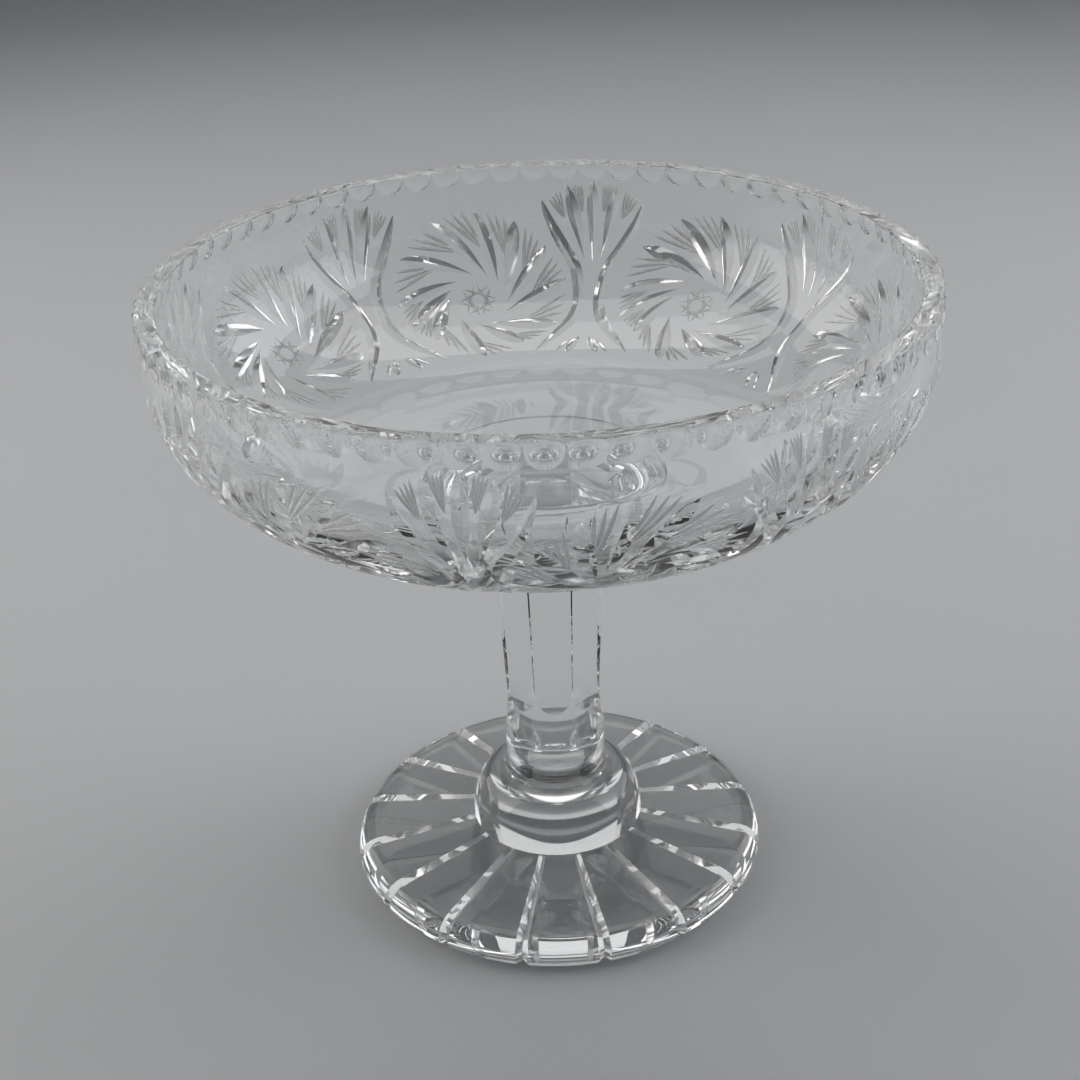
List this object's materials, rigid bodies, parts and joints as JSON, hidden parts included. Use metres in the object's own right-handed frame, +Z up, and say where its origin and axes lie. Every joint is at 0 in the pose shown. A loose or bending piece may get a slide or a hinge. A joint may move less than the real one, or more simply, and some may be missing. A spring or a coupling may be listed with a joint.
{
  "type": "pedestal fruit bowl",
  "caption": "Footed fruit bowl in clear cut crystal: wide round bowl with a thumbprint rim, octagonal stem with a flared top, and a domed round foot with radial grooves.",
  "frame": {"origin": "centre of the ground base of the foot, on the surface that the bowl stands on", "axes": "+Z up along the axis of the bowl, stem and foot; -Y towards the viewer of the picture"},
  "size_m": [0.24, 0.2398, 0.21],
  "materials": {
    "crystal": "polished clear lead crystal",
    "adhesive": "cured clear adhesive film"
  },
  "bodies": {
    "root": {"bowl": "crystal", "bowl_bond": "adhesive", "stem": "crystal", "foot_bond": "adhesive", "foot": "crystal"}
  },
  "joints": []
}
